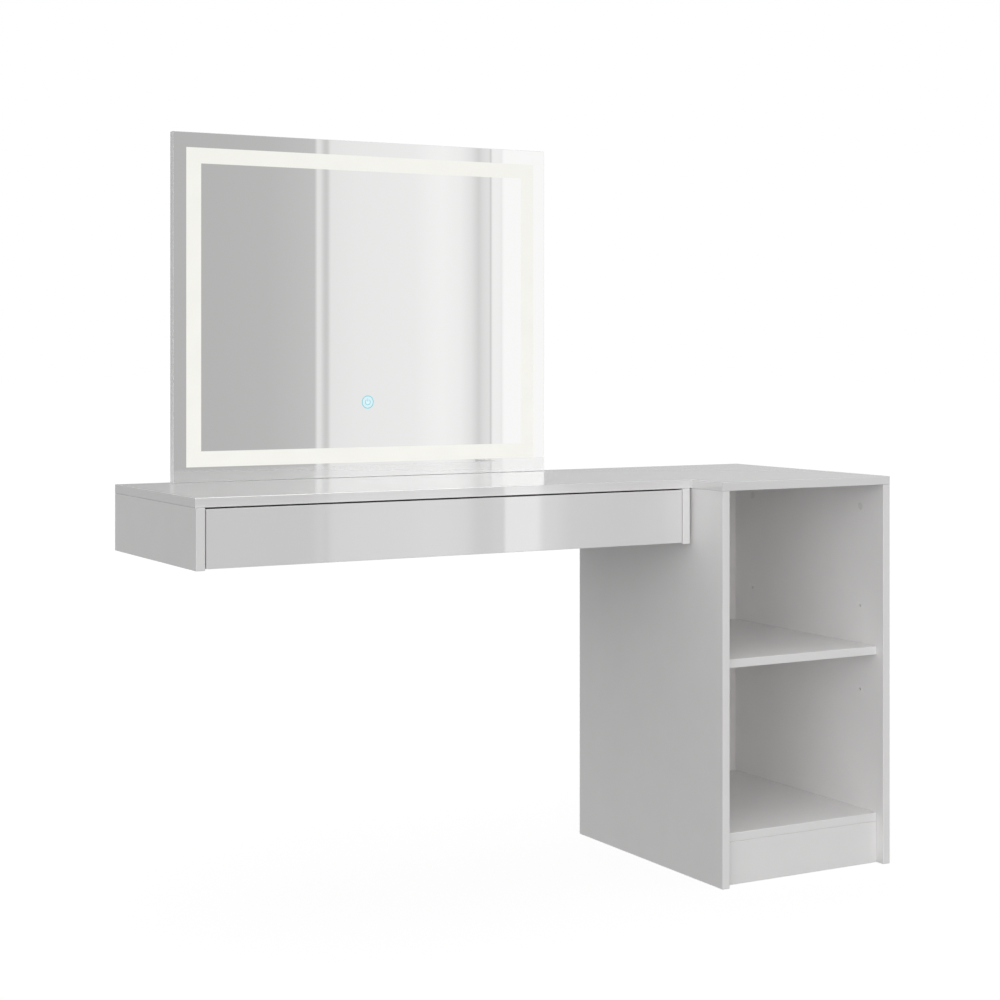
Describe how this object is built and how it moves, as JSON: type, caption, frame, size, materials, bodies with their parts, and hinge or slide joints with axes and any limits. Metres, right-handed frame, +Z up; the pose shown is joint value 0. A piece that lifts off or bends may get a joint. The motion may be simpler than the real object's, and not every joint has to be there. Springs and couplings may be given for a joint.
{
  "type": "vanity table",
  "caption": "White wall-fixed vanity table: L-shaped top, full-width handleless drawer, open pedestal with a shelf, and a rectangular mirror with a built-in light band.",
  "frame": {"origin": "on the floor, under the middle of the whole table's box", "axes": "+X to the right along the wall, towards the pedestal; +Y into the wall; +Z up"},
  "size_m": [1.387, 0.502, 1.395],
  "materials": {
    "gloss_white": "high-gloss white faced board",
    "satin_white": "satin white melamine-faced board with edge band",
    "back_white": "thin painted hardboard",
    "drawer_grey": "light grey foil-wrapped board",
    "zinc": "zinc-plated",
    "steel": "nickel-plated",
    "clip_plastic": "moulded",
    "silvered": "silvered glass",
    "light_band": "frosted, lit from behind, warm white",
    "frame_white": "matt white",
    "black_plastic": "matt black",
    "circuit": "white circuit board",
    "touch_light": "sensor board with a pale blue lamp"
  },
  "bodies": {
    "root": {"table_top": "gloss_white", "pedestal_side_left": "satin_white", "pedestal_side_right": "satin_white", "pedestal_back": "back_white", "pedestal_bottom": "satin_white", "pedestal_plinth": "satin_white", "pedestal_shelf": "satin_white", "shelf_clip_front_left": "clip_plastic", "shelf_clip_front_right": "clip_plastic", "shelf_clip_rear_left": "clip_plastic", "shelf_clip_rear_right": "clip_plastic", "shelf_pin_front_left": "steel", "shelf_pin_front_right": "steel", "shelf_pin_rear_left": "steel", "shelf_pin_rear_right": "steel", "pedestal_left_front_cam_lock": "zinc", "pedestal_left_rear_cam_lock": "zinc", "pedestal_right_front_cam_lock": "zinc", "pedestal_right_rear_cam_lock": "zinc", "pedestal_left_front_cam_bolt": "steel", "pedestal_left_rear_cam_bolt": "steel", "pedestal_right_front_cam_bolt": "steel", "pedestal_right_rear_cam_bolt": "steel", "desk_side_left": "satin_white", "desk_side_right": "satin_white", "desk_back": "satin_white", "desk_left_front_cam_lock": "zinc", "desk_left_rear_cam_lock": "zinc", "desk_right_front_cam_lock": "zinc", "desk_right_rear_cam_lock": "zinc", "desk_left_front_cam_bolt": "steel", "desk_left_rear_cam_bolt": "steel", "desk_right_front_cam_bolt": "steel", "desk_right_rear_cam_bolt": "steel", "gap_batten": "satin_white", "connector_bolt_front": "zinc", "connector_bolt_rear": "zinc", "wall_plate_left": "zinc", "wall_plate_right": "zinc", "runner_box_left": "zinc", "runner_box_right": "zinc", "mirror_glass": "silvered", "light_band": "light_band", "mirror_frame": "frame_white", "mirror_back_plate": "frame_white", "led_strip": "circuit", "touch_sensor": "touch_light", "led_driver": "black_plastic", "power_inlet": "black_plastic", "mirror_bracket_left": "zinc", "mirror_bracket_right": "zinc"},
    "drawer": {"drawer_front": "gloss_white", "drawer_side_left": "drawer_grey", "drawer_side_right": "drawer_grey", "drawer_back": "drawer_grey", "drawer_bottom": "drawer_grey", "runner_drawer_left": "zinc", "runner_drawer_right": "zinc"},
    "runner_member_left": {"runner_middle_left": "zinc"},
    "runner_member_right": {"runner_middle_right": "zinc"}
  },
  "joints": [
    {"name": "drawer_slide", "type": "slide", "parent": "root", "child": "drawer", "axis": [0, -1, 0], "range_m": [0, 0.33]},
    {"name": "runner_slide_left", "type": "slide", "parent": "root", "child": "runner_member_left", "axis": [0, -1, 0], "range_m": [0, 0.165]},
    {"name": "runner_slide_right", "type": "slide", "parent": "root", "child": "runner_member_right", "axis": [0, -1, 0], "range_m": [0, 0.165]}
  ],
  "couplings": [
    {"joint": "runner_slide_left", "follows": "drawer_slide", "ratio": 0.5},
    {"joint": "runner_slide_right", "follows": "drawer_slide", "ratio": 0.5}
  ]
}
